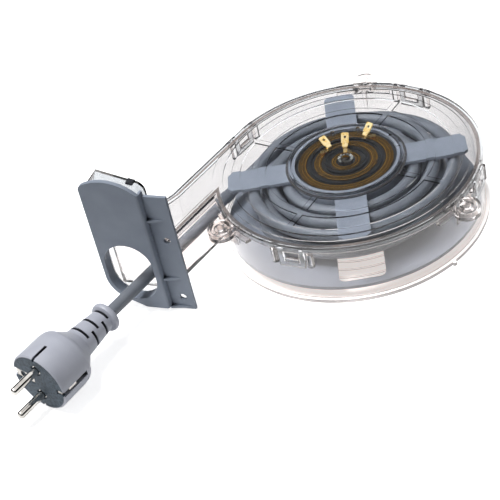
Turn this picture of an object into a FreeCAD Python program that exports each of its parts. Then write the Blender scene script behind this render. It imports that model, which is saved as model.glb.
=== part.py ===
"""Spring rewind cord reel in a clear housing, with its mains lead and plug.

Millimetres. The origin is on the drum's axis at the underside of the housing, and +Z is up.
Angles are measured from +X, anticlockwise seen from above. The cord leaves the drum along a
tangent, runs down a clear duct and comes out of a hole in the upright exit plate.
"""
import FreeCAD, Part
import math
import os

# Driving dimensions: housing
housing_radius = 79.0
housing_wall = 2.0
floor_thickness = 2.0
housing_height = 40.8
cover_thickness = 1.2
rib_height = 1.0
skirt_height = 4.2
skirt_gap = 0.3
skirt_thickness = 1.4
bead_height = 2.4
bead_out = 1.8
boss_radius = 8.0
boss_height = 3.2
rim_width = 4.5
cover_rings = ((48.3, 53.3), (64.0, 69.3))
cover_spoke_angle = 48.5
cover_spoke_width = 3.4
floor_rings = (46.0, 53.0, 60.0, 67.0)
floor_ring_width = 1.0
ear_angles = (71.0, 201.0, 310.0)
ear_reach = 8.0
ear_radius = 7.75
ear_thickness = 5.5
ear_drop = 2.3
ear_gusset_drop = 13.0
ear_wing = 17.0
ear_dish = 3.5
ear_dish_wall = 1.6
ear_hole_radius = 2.3
clip_angles = (48.0, 134.0, 235.0, 329.0)
clip_width = 16.0
clip_drop = 10.6
clip_bar = 2.6
nub_angle = 303.0

# Driving dimensions: duct, mouth box and exit plate
exit_angle = 135.0
duct_width = 22.0
duct_bottom = 7.5
duct_straight = 66.0
plate_distance = 124.8
plate_angle = -29.0
hole_offset = 1.8
hole_shift = 0.4
plate_bottom = 0.3
flange_height = 82.2
flange_width = 14.5
flange_sheet = 2.0
face_width = 36.0
face_step = 5.0
face_sheet = 2.5
face_bottom = 3.2
face_side_height = 85.9
face_arch_rise = 8.7
face_apex = 20.5
face_corner_radius = 4.0
hole_width = 30.4
hole_height = 40.0
hole_bottom = 9.1
hole_lip = 2.3
sleeve_depth = 7.0
sleeve_wall = 1.4
screw_hole_radius = 2.2
screw_hole_edge = 6.4
screw_hole_heights = (9.0, 51.2)
gusset_heights = (1.2, 22.3, 65.0)
gusset_sheet = 1.6
gusset_rise = 2.3
face_edge_round = 1.4
mouth_depth = 9.0
mouth_wall = 1.2
mouth_inset = 1.7
mouth_top_left = 84.8
mouth_top_apex = 92.6
mouth_top_right = 86.4
mouth_apex = 6.0
mouth_corner = 6.0
mouth_slot = (-34.0, -30.5)
clip_strap = (-25.0, -21.0)
clip_strap_length = 4.6
clip_strap_sheet = 0.8

# Driving dimensions: drum and what turns with it
drum_top_gap = 0.4
hub_rise = 1.5
flange_lift = 5.0
flange_disc_thickness = 2.0
flange_rim_gap = 0.8
window_width = 27.0
window_spokes = (0, 2)
window_hub_gap = 14.0
window_rim = 5.2
hub_radius = 32.4
hub_wall = 1.8
spoke_angle = 82.5
spoke_width = 18.6
spoke_overhang = 4.0
spoke_thickness = 2.0
partition_depth = 4.7
partition_thickness = 1.5
axle_radius = 3.0
running_gap = 0.05
bush_wall = 2.4
collar_radius = 7.6
rings = (("outer", 23.6, 28.4), ("middle", 14.7, 19.0), ("inner", 5.9, 8.8))
ring_thickness = 0.6
ring_carrier_thickness = 1.3
barrier_radii = (11.6, 21.0)
barrier_width = 1.2
lead_diameter = 1.2
lead_angles = (162.0, 166.5, 157.5)
arbor_radius = 7.2
spring_strip = 0.4
spring_foot_gap = 2.6
spring_headroom = 2.0
spring_half_turns = 23
spring_gap = 0.3

# Driving dimensions: latch under the drum
latch_outer = 20.0
latch_notches = 12
notch_width = 3.4
notch_depth = 2.4
latch_angle = 60.0
pawl_pivot = (24.5, 16.0)
pawl_swing = 17.0
pawl_thickness = 2.8
pawl_pin_radius = 1.5
pawl_nose_width = 2.2
pawl_tail = 8.0
pawl_tail_width = 3.2
pawl_spring_sheet = 0.35
spring_post = (33.0, 26.5)
spring_post_radius = 1.6

# Driving dimensions: contacts
contact_carrier_gap = 0.3
carrier_hub_gap = 0.8
carrier_wall = 1.2
carrier_headroom = 0.5
carrier_sheet = 1.2
carrier_lip_width = 1.5
carrier_rings = ((20.2, 21.0), (12.0, 12.8))
carrier_ring_rise = 0.8
carrier_slot = (31.0, 33.0)
carrier_slot_angles = (-2.0, 22.0)
tab_width = 4.6
tab_length = 6.2
tab_thickness = 0.8
tab_bevel = 0.6
tab_eye_radius = 0.8
tab_crease = 0.2
neck_width = 3.4
neck_length = 2.2
blade_width = 2.8
contact_touch = 0.1
contacts = (
    ("middle", 14.8, 118.2, 113.8, 62.5, 17.0, 134.0),
    ("inner", 10.0, 78.7, 68.6, 41.2, 7.4, 79.0),
    ("outer", 22.2, 46.4, 37.6, 51.8, 26.6, 38.0),
)
carrier_posts = ((25.1, 96.0), (26.0, 61.0))
carrier_post_radius = 1.1
carrier_post_height = 2.6

# Driving dimensions: cord and plug
cord_diameter = 7.4
cord_height = 19.2
cord_duct_offset = 0.5
turn_gap = 0.5
winding_turns = 2.875
winding_slow_turns = 0.5
winding_slow_pitch = 6.8
winding_drop_start = 2.4
winding_head_gap = 0.9
core_gap = 2.3
core_top_gap = 0.4
core_waist = 3.4
core_shoulder = 4.4
core_shoulder_drop = 8.0
cord_clamp_length = 6.0
free_cord_length = 44.5
free_cord_inset = 2.6
plug_heading = 225.0
plug_roll = -6.5
relief_length = 27.0
relief_collar_radius = 9.2
relief_collar_length = 4.2
relief_collar_round = 1.5
relief_small_radius = 7.0
relief_large_radius = 9.5
relief_slot = 1.8
relief_slot_pitch = 4.6
relief_slot_span = 100.0
relief_slot_count = 5
relief_core_radius = 4.3
plug_radius = 18.8
plug_length = 33.3
plug_barrel = 22.5
plug_shoulder = 3.6
plug_neck_radius = 9.4
plug_insert_radius = 17.7
plug_insert_depth = 2.2
guide_width = 1.8
guide_depth = 2.6
guide_length = 11.5
pin_radius = 2.4
pin_foot_radius = 2.8
pin_length = 19.0
pin_spacing = 19.0
pin_seat_radius = 3.5
pin_seat_depth = 0.7
earth_slot_width = 6.4
far_slot_width = 3.4
earth_slot_depth = 3.0
earth_slot_length = 20.0
earth_strip_width = 5.6
far_strip_width = 2.8
far_tab_reach = 2.6
earth_strip_sheet = 0.8
earth_plate_reach = 3.0
earth_plate_width = 7.0
earth_hole_place = 11.5
earth_hole_radius = 2.3

V = FreeCAD.Vector
UP = V(0, 0, 1)

# Heights that follow from the sizes above
cover_under = housing_height - rib_height - cover_thickness
cover_top = cover_under + cover_thickness
skirt_bottom = housing_height - skirt_height
hub_top = cover_top + hub_rise
spoke_top = cover_under - drum_top_gap
spoke_under = spoke_top - spoke_thickness
flange_under = floor_thickness + flange_lift
flange_top = flange_under + flange_disc_thickness
flange_disc_radius = housing_radius - housing_wall - flange_rim_gap
partition_top = hub_top - partition_depth
partition_under = partition_top - partition_thickness
boss_top = floor_thickness + boss_height
ring_carrier_bottom = partition_top + lead_diameter + 0.4
ring_bottom = ring_carrier_bottom + ring_carrier_thickness
ring_top = ring_bottom + ring_thickness
hub_inner = hub_radius - hub_wall
rim_inner_radius = housing_radius - rim_width
ear_circle = housing_radius + ear_reach
carrier_inner = hub_radius + carrier_hub_gap
carrier_outer = carrier_inner + carrier_wall
cover_hole_radius = carrier_outer + contact_carrier_gap
carrier_under = hub_top + carrier_headroom
carrier_top = carrier_under + carrier_sheet
window_inner = hub_radius + window_hub_gap
window_outer = flange_disc_radius - window_rim
cord_exit_radius = housing_radius - duct_width / 2 - cord_duct_offset
spoke_reach = cord_exit_radius + spoke_overhang
through_top = 2 * housing_height
spring_low = flange_top + bush_wall + spring_foot_gap
spring_width = partition_under - spring_low - spring_headroom
ear_top = housing_height - ear_drop
face_front = face_step


def polar(radius, degrees, z=0.0):
    """The point at a radius and an angle about the drum's axis."""
    a = math.radians(degrees)
    return V(radius * math.cos(a), radius * math.sin(a), z)


def cylinder(radius, z_low, z_high, centre=V(0, 0, 0)):
    """An upright cylinder between two heights."""
    return Part.makeCylinder(radius, z_high - z_low, V(centre.x, centre.y, z_low), UP)


def ring(outer, inner, z_low, z_high, centre=V(0, 0, 0)):
    """An upright ring between two heights."""
    return cylinder(outer, z_low, z_high, centre).cut(cylinder(inner, z_low - 1, z_high + 1, centre))


def block(x0, x1, y0, y1, z0, z1):
    """A box between two corners."""
    return Part.makeBox(x1 - x0, y1 - y0, z1 - z0, V(x0, y0, z0))


def turned(shape, degrees, centre=V(0, 0, 0), axis=UP):
    """A copy of the shape, turned about an axis."""
    copy = shape.copy()
    copy.rotate(centre, axis, degrees)
    return copy


def joined(shapes):
    """One solid from overlapping ones."""
    first = shapes[0]
    return first.fuse(shapes[1:]).removeSplitter() if len(shapes) > 1 else first


def prism(points, z_low, z_high):
    """An upright prism on a closed outline of plan points."""
    corners = [V(p.x, p.y, z_low) for p in points]
    face = Part.Face(Part.makePolygon(corners + corners[:1]))
    return face.extrude(V(0, 0, z_high - z_low))


def save(name, shape):
    """Writes one named piece."""
    shape.exportStep(f"parts/{name}.step")
    bodies = shape.Solids
    print(f"{name}: {len(bodies)} solid, {shape.Volume / 1000:.2f} cm3, valid {shape.isValid()}")


# Plan frame of the duct: run goes along the cord's tangent, off is the distance from the axis
OUT = polar(1.0, exit_angle)
RUN = polar(1.0, exit_angle + 90.0)


def along(run, off, z=0.0):
    """The plan point at a run down the duct and an offset from the drum's axis."""
    return V(RUN.x * run + OUT.x * off, RUN.y * run + OUT.y * off, z)


# Plate frame: s goes along the plate, from its right edge, and e stands out of its front
PLATE_S = polar(1.0, plate_angle)
PLATE_E = polar(1.0, plate_angle - 90.0)
face_right = -flange_width
face_left = face_right - face_width
face_middle = (face_left + face_right) / 2.0
hole_middle = face_middle - hole_shift
hole_half = hole_width / 2.0
cord_mark = along(plate_distance, cord_exit_radius)
PLATE_O = cord_mark - PLATE_S * (hole_middle + hole_offset) - PLATE_E * face_step


def on_plate(s, e=0.0, z=0.0):
    """The point at a distance along the plate, out of it and above the base."""
    return PLATE_O + PLATE_S * s + PLATE_E * e + UP * z


def plate_s_of_off(off, e):
    """Where a line along the duct at this offset crosses the plane at e, as a distance s."""
    return (off - OUT.dot(PLATE_O) - e * OUT.dot(PLATE_E)) / OUT.dot(PLATE_S)


def cord_run_at(e):
    """How far down the duct the cord's line crosses the plane at e."""
    base = along(0, cord_exit_radius) - PLATE_O
    return (e - base.dot(PLATE_E)) / RUN.dot(PLATE_E)


def plate_solid(wire, e_low, e_high):
    """A solid on a closed wire drawn in the plate's plane, between two depths."""
    face = Part.Face(wire)
    face.translate(PLATE_E * e_low)
    return face.extrude(PLATE_E * (e_high - e_low))


def plate_box(s0, s1, e0, e1, z0, z1):
    """A box that follows the plate's directions."""
    corners = [on_plate(s0, 0, z0), on_plate(s1, 0, z0), on_plate(s1, 0, z1), on_plate(s0, 0, z1)]
    return plate_solid(Part.makePolygon(corners + corners[:1]), e0, e1)


def arc(a, b, c):
    """The arc through three points, as an edge."""
    return Part.Arc(a, b, c).toShape()


def slot_wire(half, z_low, z_high, middle):
    """A long hole with round ends, in the plate's plane."""
    low = z_low + half
    high = z_high - half
    p = lambda s, z: on_plate(middle + s, 0, z)
    return Part.Wire([
        Part.makeLine(p(-half, high), p(-half, low)),
        arc(p(-half, low), p(0, z_low), p(half, low)),
        Part.makeLine(p(half, low), p(half, high)),
        arc(p(half, high), p(0, z_high), p(-half, high)),
    ])


def arch_height(s):
    """How high the face's arch is at a distance s: a circle through its apex and its right end."""
    radius = (face_apex ** 2 + face_arch_rise ** 2) / (2 * face_arch_rise)
    away = s - (face_right - face_apex)
    return face_side_height + face_arch_rise - radius + math.sqrt(radius ** 2 - away ** 2)


def wire_below(left, right, left_top, right_top, inset):
    """The outline's right side, foot, round lower left and left side, as edges."""
    low = face_bottom + inset
    lobe = hole_half + hole_lip - inset
    lobe_z = hole_bottom + hole_half
    p = lambda s, z: on_plate(s, 0, z)
    a = math.radians(250.0)
    lobe_middle = left + lobe
    tail = p(lobe_middle + lobe * math.cos(a), lobe_z + lobe * math.sin(a))
    m = math.radians(215.0)
    bend = p(lobe_middle + lobe * math.cos(m), lobe_z + lobe * math.sin(m))
    foot = p(lobe_middle + 4.0, low)
    return [
        Part.makeLine(p(right, right_top), p(right, low)),
        Part.makeLine(p(right, low), foot),
        Part.makeLine(foot, tail),
        arc(tail, bend, p(left, lobe_z)),
        Part.makeLine(p(left, lobe_z), p(left, left_top)),
    ]


def face_wire():
    """The outline of the plate's face: arched on top and round about the hole below."""
    left_top = arch_height(face_left)
    apex = on_plate(face_right - face_apex, 0, face_side_height + face_arch_rise)
    top = arc(on_plate(face_left, 0, left_top), apex, on_plate(face_right, 0, face_side_height))
    return Part.Wire([top] + wire_below(face_left, face_right, left_top, face_side_height, 0.0))


def mouth_wire(inset):
    """The mouth box's outline: two slopes and a round corner on top, and the face's below."""
    left = face_left + inset
    right = face_right - inset
    extra = inset - mouth_inset
    corner = mouth_corner - extra / 2
    left_top = mouth_top_left - extra
    right_top = mouth_top_right - extra
    apex = on_plate(face_left + mouth_apex, 0, mouth_top_apex - extra)
    start = on_plate(right - corner, 0, right_top)
    way = math.sqrt(0.5)
    bend = on_plate(right - corner + corner * way, 0, right_top - corner + corner * way)
    edges = [
        Part.makeLine(on_plate(left, 0, left_top), apex),
        Part.makeLine(apex, start),
        arc(start, bend, on_plate(right, 0, right_top - corner)),
    ]
    return Part.Wire(edges + wire_below(left, right, left_top, right_top - corner, inset))


def duct_plan(grow, past=0.0):
    """The duct's outline from above, grown by a margin, up to the mouth box or just past it."""
    near = housing_radius - duct_width - grow
    far = housing_radius + grow
    e = -mouth_depth + past
    near_end = on_plate(plate_s_of_off(near, e), e)
    far_end = on_plate(face_left + mouth_inset - 1.1 - grow, e)
    return [along(0, near), near_end, far_end, along(duct_straight, far), along(0, far)]


def plan_solid(grow, z_low, z_high):
    """The pot and the duct together, grown by a margin, between two heights."""
    pot = cylinder(housing_radius + grow, z_low, z_high)
    return joined([pot, prism(duct_plan(grow), z_low, z_high)])


def ear(angle):
    """A mounting ear: a round boss on a web, with a gusset under it and wings along the wall."""
    low = ear_top - ear_thickness
    root = housing_radius - housing_wall / 2
    boss = cylinder(ear_radius, low, ear_top, V(ear_circle, 0, 0))
    web = block(root, ear_circle, -ear_radius * 0.7, ear_radius * 0.7, low, ear_top)
    foot = [V(root, 0, low), V(ear_circle, 0, low), V(root, 0, low - ear_gusset_drop)]
    gusset = Part.Face(Part.makePolygon(foot + foot[:1])).extrude(V(0, 2.0, 0))
    gusset.translate(V(0, -1.0, 0))
    wing = ring(housing_radius + 3.2, root, low, low + 2.0)
    wing = wing.common(block(0, housing_radius + 5, -ear_wing, ear_wing, 0, housing_height))
    solid = joined([boss, web, gusset, wing])
    centre = V(ear_circle, 0, 0)
    collar = ear_hole_radius + ear_dish_wall
    dish = ring(ear_radius - ear_dish_wall, collar, ear_top - ear_dish, ear_top + 1, centre)
    hole = cylinder(ear_hole_radius, low - 1, ear_top + 1, centre)
    return turned(solid.cut(dish).cut(hole), angle)


def ear_clearance(angle):
    """The notch in the cover's skirt where an ear comes out of the wall."""
    half = ear_radius * 0.7 + 0.5
    notch = block(housing_radius, housing_radius + 5, -half, half, skirt_bottom - 1, ear_top + 0.1)
    return turned(notch, angle)


def clip_keeper(angle):
    """The lug that a snap clip hooks under, between two small round posts on the wall."""
    hook_low = skirt_bottom - clip_drop + clip_bar + 0.3
    root = housing_radius - 1.0
    half = clip_width / 2 - 3.8
    lug = block(root, housing_radius + 2.0, -half, half, hook_low, hook_low + 2.2)
    posts = []
    for side in (-1, 1):
        centre = V(housing_radius + 0.4, side * (clip_width / 2 + 3.2), 0)
        posts.append(cylinder(2.1, skirt_bottom - 9.5, skirt_bottom - 0.3, centre))
    return turned(joined([lug] + posts), angle), turned(lug, angle), [turned(p, angle) for p in posts]


def housing_base():
    """The clear pot with its duct, floor rings, centre boss, ears and clip keepers."""
    outer = cylinder(housing_radius, 0, cover_under)
    outer = joined([outer, prism(duct_plan(0.0), duct_bottom, cover_under)])
    inner = cylinder(housing_radius - housing_wall, floor_thickness, cover_under + 1)
    channel = prism(duct_plan(-housing_wall, 0.5), duct_bottom + housing_wall, cover_under + 1)
    shell = outer.cut(inner).cut(channel)
    extras = [ring(housing_radius + bead_out, housing_radius - 1, 0, bead_height)]
    extras.append(cylinder(boss_radius, floor_thickness - 0.5, boss_top))
    for radius in floor_rings:
        extras.append(ring(radius + floor_ring_width, radius, floor_thickness - 0.5, floor_thickness + 0.6))
    for angle in clip_angles:
        keeper = clip_keeper(angle)
        extras.append(keeper[1])
        extras.extend(keeper[2])
    for angle in ear_angles:
        extras.append(ear(angle))
    nub = cylinder(1.5, 0, bead_height, polar(housing_radius + bead_out + 0.6, nub_angle))
    extras.append(nub)
    solid = joined([shell] + extras)
    keep_clear = cylinder(housing_radius - housing_wall, boss_top, cover_under + 1)
    return solid.cut(keep_clear).cut(cylinder(axle_radius, 1.0, boss_top + 1))


def cover_clip(angle):
    """A snap loop that hangs from the skirt over the wall."""
    low = skirt_bottom - clip_drop
    root = housing_radius + skirt_gap
    loop = block(root, root + 2.0, -clip_width / 2, clip_width / 2, low, skirt_bottom + 2.0)
    half = clip_width / 2 - 3.0
    window = block(root - 1, root + 3, -half, half, low + clip_bar, skirt_bottom - 0.6)
    return turned(loop.cut(window), angle)


def housing_cover():
    """The clear lid over pot and duct, with rings, radial ribs, a skirt and snap clips."""
    lap = skirt_gap + skirt_thickness
    plate = plan_solid(lap, cover_under, cover_top)
    skirt = plan_solid(lap, skirt_bottom, cover_under + 0.1)
    skirt = skirt.cut(plan_solid(skirt_gap, skirt_bottom - 1, cover_under))
    rim = plan_solid(lap, cover_top - 0.1, housing_height)
    duct_inside = prism(duct_plan(-2.6, -2.6), 0, through_top)
    inside = joined([cylinder(rim_inner_radius, 0, through_top), duct_inside])
    rim = rim.cut(inside)
    pieces = [plate, skirt, rim]
    pieces.append(ring(housing_radius + lap, rim_inner_radius, cover_top - 0.1, housing_height))
    for inner, outer in ((a, b) for a, b in cover_rings):
        pieces.append(ring(outer, inner, cover_top - 0.1, housing_height))
    for k in range(4):
        half = cover_spoke_width / 2
        start = cover_hole_radius + carrier_lip_width + 0.3
        bar = block(start, cover_rings[1][0] + 0.5, -half, half, cover_top - 0.1, housing_height)
        pieces.append(turned(bar, cover_spoke_angle + 90 * k))
    solid = joined(pieces)
    for angle in ear_angles:
        solid = solid.cut(ear_clearance(angle))
    solid = joined([solid] + [cover_clip(angle) for angle in clip_angles])
    return solid.cut(cylinder(cover_hole_radius, 0, through_top))


def mouth_box():
    """The clear arched box behind the exit plate, where the duct opens out."""
    back = -mouth_depth
    front = face_front - face_sheet
    shell = plate_solid(mouth_wire(mouth_inset), back, front)
    hollow = plate_solid(mouth_wire(mouth_inset + mouth_wall), back + mouth_wall, front + 1)
    solid = shell.cut(hollow)
    sleeve_end = face_front - sleeve_depth
    room_top = hole_bottom + hole_height + 4
    sleeve_room = plate_box(face_left - 1, face_right + 1, sleeve_end - 0.2, front + 1, 0, room_top)
    solid = solid.cut(sleeve_room)
    s_near = plate_s_of_off(housing_radius - duct_width + housing_wall, back) - 0.3
    s_far = face_left + mouth_inset + mouth_wall + 0.6
    way_low = duct_bottom + housing_wall
    way_in = plate_box(s_far, s_near, back - 1, back + mouth_wall + 1, way_low, cover_under)
    slot = plate_box(*mouth_slot, front - 1.6, front + 1, mouth_top_right, mouth_top_apex + 10)
    return solid.cut(way_in).cut(slot)


def exit_plate():
    """The grey plate: arched face with a hole for the sleeve, stepped flange and gussets."""
    face = plate_solid(face_wire(), face_front - face_sheet, face_front)
    corner = on_plate(face_left, face_front - face_sheet / 2, arch_height(face_left))
    corner_edges = [e for e in face.Edges if (e.CenterOfMass - corner).Length < 0.01]
    face = face.makeFillet(face_corner_radius, corner_edges)
    wall_top = face_side_height - 0.6
    wall = plate_box(face_right - 1.5, face_right, -flange_sheet, face_front, face_bottom, wall_top)
    flange = plate_box(face_right - 1.5, 0, -flange_sheet, 0, plate_bottom, plate_bottom + flange_height)
    parts = [face, wall, flange]
    for z in gusset_heights:
        reach = -1.5 if z == gusset_heights[0] else -4.5
        points = [on_plate(face_right - 0.5, -0.5, z), on_plate(reach, -0.5, z), on_plate(reach, 0, z)]
        points += [on_plate(face_right - 0.5, gusset_rise, z)]
        parts.append(Part.Face(Part.makePolygon(points + points[:1])).extrude(UP * gusset_sheet))
    solid = joined(parts)
    side = on_plate(face_right, face_front)
    long_edges = [e for e in solid.Edges if e.Length > 60]
    side_edge = [e for e in long_edges if (e.CenterOfMass - side - UP * e.CenterOfMass.z).Length < 0.01]
    solid = solid.makeFillet(face_edge_round, side_edge)
    solid = solid.cut(plate_solid(hole_wire(sleeve_wall), -flange_sheet - 1, face_front + 1))
    for z in screw_hole_heights:
        start = on_plate(-screw_hole_edge, -flange_sheet - 1, z)
        solid = solid.cut(Part.makeCylinder(screw_hole_radius, flange_sheet + 8, start, PLATE_E))
    return solid


def hole_wire(grow):
    """The oval outline of the cord's hole, grown by a margin."""
    top = hole_bottom + hole_height
    return slot_wire(hole_half + grow, hole_bottom - grow, top + grow, hole_middle)


def exit_sleeve():
    """The oval liner in the plate's hole, which the cord runs through."""
    back = face_front - sleeve_depth
    bore = plate_solid(hole_wire(0.0), back - 1, face_front + 1)
    return plate_solid(hole_wire(sleeve_wall), back, face_front).cut(bore)


def plate_clip():
    """A dark spring strap over the mouth box's top, near its back edge."""
    back = -mouth_depth + 0.2
    front = back + clip_strap_length
    outer = plate_solid(mouth_wire(mouth_inset - clip_strap_sheet - 0.05), back, front)
    shell = outer.cut(plate_solid(mouth_wire(mouth_inset - 0.05), back - 1, front + 1))
    window = plate_box(*clip_strap, back - 1, front + 1, mouth_top_right - 2, mouth_top_apex + 10)
    return shell.common(window)


def axle():
    """The steel axle, pressed into the base and held on top by the contact carrier."""
    return cylinder(axle_radius, 1.0, hub_top)


def spring_arbor():
    """The sleeve on the axle that the spring's inner end hooks on."""
    return ring(arbor_radius, axle_radius, spring_low - 1.0, spring_low + spring_width + 1.0)


def rewind_spring():
    """The flat spiral spring between arbor and hub, drawn with half-circle arcs."""
    start = arbor_radius + spring_gap
    room = hub_inner - spring_gap - spring_strip - start
    step = room / (spring_half_turns - 1)
    sides = []
    for offset in (0.0, spring_strip):
        edges = []
        for k in range(spring_half_turns):
            radius = start + offset + k * step
            centre = V(step if k % 2 else 0.0, 0, spring_low)
            sign = -1 if k % 2 else 1
            a = centre + V(sign * radius, 0, 0)
            b = centre + V(0, sign * radius, 0)
            c = centre - V(sign * radius, 0, 0)
            edges.append((a, b, c))
        sides.append(edges)
    inner, outer = sides
    wire = [arc(*e) for e in inner]
    wire.append(Part.makeLine(inner[-1][2], outer[-1][2]))
    wire += [arc(c, b, a) for a, b, c in reversed(outer)]
    wire.append(Part.makeLine(outer[0][0], inner[0][0]))
    return Part.Face(Part.Wire(wire)).extrude(UP * spring_width)


def window_cutter():
    """One window under a spoke: a bar across the flange with rounded outer corners."""
    half = window_width / 2
    bar = block(window_inner, window_outer, -half, half, flange_under - 1, flange_top + 1)
    corners = [e for e in bar.Edges if abs(e.CenterOfMass.x - window_outer) < 0.01 and e.Length < 10]
    upright = [e for e in corners if abs(e.Vertexes[0].Z - e.Vertexes[1].Z) > 1]
    return bar.makeFillet(4.0, upright)


def drum_flange():
    """The lower disc with windows under two spokes, the bush hole and the latch's posts."""
    disc = cylinder(flange_disc_radius, flange_under, flange_top)
    for k in window_spokes:
        disc = disc.cut(turned(window_cutter(), spoke_angle + 90 * k))
    pivot = latch_point(*pawl_pivot)
    boss = cylinder(4.0, flange_under - 0.4, flange_top, pivot)
    stop = cylinder(spring_post_radius, pawl_height()[0], flange_top, latch_point(*spring_post))
    solid = joined([disc, boss, stop])
    solid = solid.cut(cylinder(axle_radius + running_gap + bush_wall, 0, flange_top + 1))
    return solid.cut(cylinder(pawl_pin_radius, 0, flange_top + 1, pivot))


def drum_hub():
    """The hub cup with its top ring, the partition under the slip rings and four spokes."""
    wall = ring(hub_radius, hub_inner, flange_top, hub_top)
    partition = ring(hub_radius - 0.5, axle_radius + running_gap + bush_wall, partition_under, partition_top)
    pieces = [wall, partition]
    for k in range(4):
        half = spoke_width / 2
        tip = spoke_reach
        cut = 3.0
        outline = [V(hub_radius - 1, -half, 0), V(tip - cut, -half, 0), V(tip, -half + cut, 0)]
        outline += [V(tip, half - cut, 0), V(tip - cut, half, 0), V(hub_radius - 1, half, 0)]
        pieces.append(turned(prism(outline, spoke_under, spoke_top), spoke_angle + 90 * k))
    solid = joined(pieces)
    low = partition_top + 0.1
    for degrees in lead_angles:
        a = polar(hub_inner - 1, degrees, low + lead_diameter / 2 + 0.1)
        solid = solid.cut(Part.makeCylinder(lead_diameter / 2 + 0.2, 4.0, a, polar(1, degrees)))
    return solid


def bush(z_face, z_end, collar_height):
    """A bearing sleeve on the axle, with a collar at its face."""
    inner = axle_radius + running_gap
    low, high = min(z_face, z_end), max(z_face, z_end)
    sleeve = ring(inner + bush_wall, inner, low, high)
    if collar_height > 0:
        return joined([sleeve, ring(collar_radius, inner, z_face, z_face + collar_height)])
    return sleeve


def slip_ring_carrier():
    """The dark disc under the slip rings, with raised barriers between them."""
    disc = ring(hub_inner - 0.1, 5.0, ring_carrier_bottom, ring_bottom)
    pieces = [disc]
    for radius in barrier_radii:
        pieces.append(ring(radius + barrier_width, radius, ring_bottom - 0.1, ring_top + 0.4))
    solid = joined(pieces)
    for (name, inner, outer), degrees in zip(rings, lead_angles):
        spot = polar((inner + outer) / 2, degrees)
        solid = solid.cut(cylinder(lead_diameter / 2 + 0.05, 0, ring_bottom + 1, spot))
    return solid


def slip_ring(inner, outer):
    """One flat brass ring on the carrier."""
    return ring(outer, inner, ring_bottom, ring_top)


def ring_leads():
    """The three cores of the cord, from the hub's wall to the rivets under the slip rings."""
    z = partition_top + lead_diameter / 2 + 0.2
    solids = []
    for (name, inner, outer), degrees in zip(rings, lead_angles):
        middle = (inner + outer) / 2
        foot = polar(middle, degrees, z)
        flat = Part.makeCylinder(lead_diameter / 2, hub_radius - middle, foot, polar(1, degrees))
        riser = cylinder(lead_diameter / 2, z, ring_bottom, polar(middle, degrees))
        solids.append(joined([flat, riser]))
    return Part.makeCompound(solids)


def latch_point(x, y, z=0.0):
    """A point given along and across the latch's radius."""
    a = math.radians(latch_angle)
    return V(x * math.cos(a) - y * math.sin(a), x * math.sin(a) + y * math.cos(a), z)


def latch_ring():
    """The notched ring round the base's boss, which the pawl drops into."""
    solid = ring(latch_outer, boss_radius, floor_thickness, boss_top - 0.1)
    half = notch_width / 2
    for k in range(latch_notches):
        notch = block(latch_outer - notch_depth, latch_outer + 1, -half, half, 0, boss_top + 1)
        solid = solid.cut(turned(notch, latch_angle + 360.0 * k / latch_notches))
    return solid


def pawl_height():
    """The lowest and highest level of the pawl."""
    high = flange_under - 0.5
    return high - pawl_thickness, high


def latch_pawl():
    """The pawl, drawn in its notch and then swung back to rest."""
    low, high = pawl_height()
    pivot = latch_point(*pawl_pivot)
    half = pawl_nose_width / 2
    tip = latch_outer - notch_depth + 0.7
    nose = [latch_point(tip, -half), latch_point(tip, half), latch_point(25.5, 4.0)]
    nose += [latch_point(pawl_pivot[0] + 4.6, pawl_pivot[1]), latch_point(29.0, -half)]
    arm = prism(nose, low, high)
    root = [latch_point(25.5, 4.0), latch_point(pawl_pivot[0] - 3.6, pawl_pivot[1])]
    root += [latch_point(pawl_pivot[0] + 3.6, pawl_pivot[1]), latch_point(29.2, 4.0)]
    x, y = pawl_pivot
    side = pawl_tail_width / 2
    tail = [latch_point(x - side, y), latch_point(x + side, y)]
    tail += [latch_point(x + side, y + pawl_tail), latch_point(x - side, y + pawl_tail)]
    solid = joined([arm, prism(root, low, high), prism(tail, low, high), cylinder(4.0, low, high, pivot)])
    solid = solid.cut(cylinder(pawl_pin_radius + running_gap, low - 1, high + 1, pivot))
    return turned(solid, pawl_swing, pivot)


def pawl_pin():
    """The headed pin in the flange that the pawl swings on."""
    low, high = pawl_height()
    pivot = latch_point(*pawl_pivot)
    head = cylinder(2.7, low - 0.9, low - 0.1, pivot)
    return joined([cylinder(pawl_pin_radius, low - 0.5, flange_top, pivot), head])


def pawl_spring():
    """The thin leaf from an eye on its post to the side of the pawl's tail."""
    low, high = pawl_height()
    low += 0.3
    high -= 0.3
    post = latch_point(*spring_post)
    bore = spring_post_radius + 0.05
    eye = ring(bore + pawl_spring_sheet, bore, low, high, post)
    x, y = pawl_pivot
    a = math.radians(pawl_swing)
    reach = pawl_tail - 1.0
    side = pawl_tail_width / 2 + 0.1
    local = (x + side * math.cos(a) - reach * math.sin(a), y + side * math.sin(a) + reach * math.cos(a))
    way = latch_point(*local) - post
    length = way.Length
    way.normalize()
    across = UP.cross(way) * (bore + pawl_spring_sheet / 2)
    start = post + across
    way = latch_point(*local) - start
    length = way.Length
    way.normalize()
    half = UP.cross(way) * (pawl_spring_sheet / 2)
    end = start + way * length
    leaf = prism([start - half, start + half, end + half, end - half], low, high)
    return joined([eye, leaf])


def contact_frame(base_radius, base_angle, lean_angle, lean):
    """The base point, the blade's width direction and the tab's leaning direction."""
    base = polar(base_radius, base_angle)
    across = polar(1.0, lean_angle + 90.0)
    a = math.radians(lean)
    lean_way = polar(math.sin(a), lean_angle, math.cos(a))
    return base, across, lean_way


def strip(start, way, across, width, length, thickness):
    """A flat strip from a start point along a way, centred on it."""
    face_normal = way.cross(across)
    face_normal.normalize()
    half = across * (width / 2)
    low = start - face_normal * (thickness / 2)
    points = [low - half, low + half, low + half + way * length, low - half + way * length]
    return Part.Face(Part.makePolygon(points + points[:1])).extrude(face_normal * thickness)


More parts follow.
